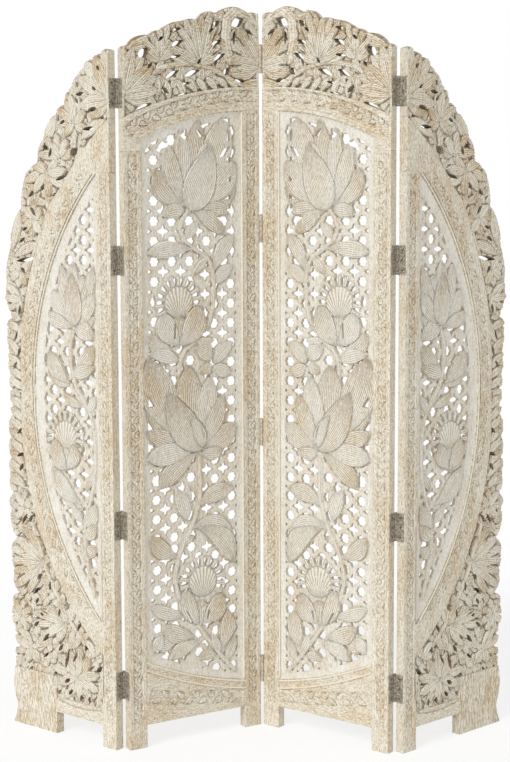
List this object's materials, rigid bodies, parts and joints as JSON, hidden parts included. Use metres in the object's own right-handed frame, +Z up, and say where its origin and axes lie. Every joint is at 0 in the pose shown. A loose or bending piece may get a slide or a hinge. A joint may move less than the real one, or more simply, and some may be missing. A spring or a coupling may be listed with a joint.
{
  "type": "carved folding screen",
  "caption": "Folding room screen of hinged panels in whitewashed carved wood, with pierced jali fields, an arched top and leaf-carved crest boards.",
  "frame": {"origin": "on the floor, in the middle of the footprint of the screen as it stands in a zigzag", "axes": "+X along the screen to the right as seen from its carved front, +Y towards its back, +Z up"},
  "size_m": [1.2874, 0.2768, 1.83],
  "materials": {
    "frame_wood": "limewashed, matt",
    "leaf_carving": "limewashed over brown recesses, matt",
    "carved_field": "limewashed over brown recesses, matt",
    "dark_hinge": "dark lacquered steel",
    "painted_hinge": "steel painted over with the wash",
    "screw_steel": "zinc-plated steel"
  },
  "bodies": {
    "outer_left": {"outer_left_band_lower": "frame_wood", "outer_left_band_upper": "frame_wood", "outer_left_bottom_rail": "frame_wood", "outer_left_foot": "frame_wood", "outer_left_hinge_screws": "screw_steel", "outer_left_jali_field": "carved_field", "outer_left_leaf_board_lower": "leaf_carving", "outer_left_leaf_board_upper": "leaf_carving", "outer_left_left_hinge_leaf_1": "dark_hinge", "outer_left_left_hinge_leaf_2": "dark_hinge", "outer_left_left_hinge_leaf_3": "dark_hinge", "outer_left_left_hinge_leaf_4": "dark_hinge", "outer_left_stile": "frame_wood"},
    "inner_left": {"inner_left_arch_rail": "frame_wood", "inner_left_bottom_rail": "frame_wood", "inner_left_centre_hinge_leaf_1": "painted_hinge", "inner_left_centre_hinge_leaf_2": "painted_hinge", "inner_left_centre_hinge_leaf_3": "painted_hinge", "inner_left_centre_hinge_leaf_4": "painted_hinge", "inner_left_crest": "leaf_carving", "inner_left_hinge_pins": "screw_steel", "inner_left_hinge_screws": "screw_steel", "inner_left_jali_field": "carved_field", "inner_left_left_hinge_leaf_1": "dark_hinge", "inner_left_left_hinge_leaf_2": "dark_hinge", "inner_left_left_hinge_leaf_3": "dark_hinge", "inner_left_left_hinge_leaf_4": "dark_hinge", "inner_left_stile_centre": "frame_wood", "inner_left_stile_outer": "frame_wood"},
    "inner_right": {"inner_right_arch_rail": "frame_wood", "inner_right_bottom_rail": "frame_wood", "inner_right_centre_hinge_leaf_1": "painted_hinge", "inner_right_centre_hinge_leaf_2": "painted_hinge", "inner_right_centre_hinge_leaf_3": "painted_hinge", "inner_right_centre_hinge_leaf_4": "painted_hinge", "inner_right_crest": "leaf_carving", "inner_right_hinge_pins": "screw_steel", "inner_right_hinge_screws": "screw_steel", "inner_right_jali_field": "carved_field", "inner_right_right_hinge_leaf_1": "dark_hinge", "inner_right_right_hinge_leaf_2": "dark_hinge", "inner_right_right_hinge_leaf_3": "dark_hinge", "inner_right_right_hinge_leaf_4": "dark_hinge", "inner_right_stile_centre": "frame_wood", "inner_right_stile_outer": "frame_wood"},
    "outer_right": {"outer_right_band_lower": "frame_wood", "outer_right_band_upper": "frame_wood", "outer_right_bottom_rail": "frame_wood", "outer_right_foot": "frame_wood", "outer_right_hinge_screws": "screw_steel", "outer_right_jali_field": "carved_field", "outer_right_leaf_board_lower": "leaf_carving", "outer_right_leaf_board_upper": "leaf_carving", "outer_right_right_hinge_leaf_1": "dark_hinge", "outer_right_right_hinge_leaf_2": "dark_hinge", "outer_right_right_hinge_leaf_3": "dark_hinge", "outer_right_right_hinge_leaf_4": "dark_hinge", "outer_right_stile": "frame_wood"}
  },
  "joints": [
    {"name": "left_hinge_line", "type": "hinge", "parent": "inner_left", "child": "outer_left", "pos_m": [-0.32565, -0.09422, 0.9], "axis": [0, 0, 1], "range_deg": [-109.5, 70.5]},
    {"name": "centre_hinge_line", "type": "hinge", "parent": "inner_left", "child": "inner_right", "pos_m": [0.0156, 0.08666, 0.9], "axis": [0, 0, 1], "range_deg": [-111, 69]},
    {"name": "right_hinge_line", "type": "hinge", "parent": "inner_right", "child": "outer_right", "pos_m": [0.34341, -0.11758, 0.9], "axis": [0, 0, 1], "range_deg": [-79, 101]}
  ]
}
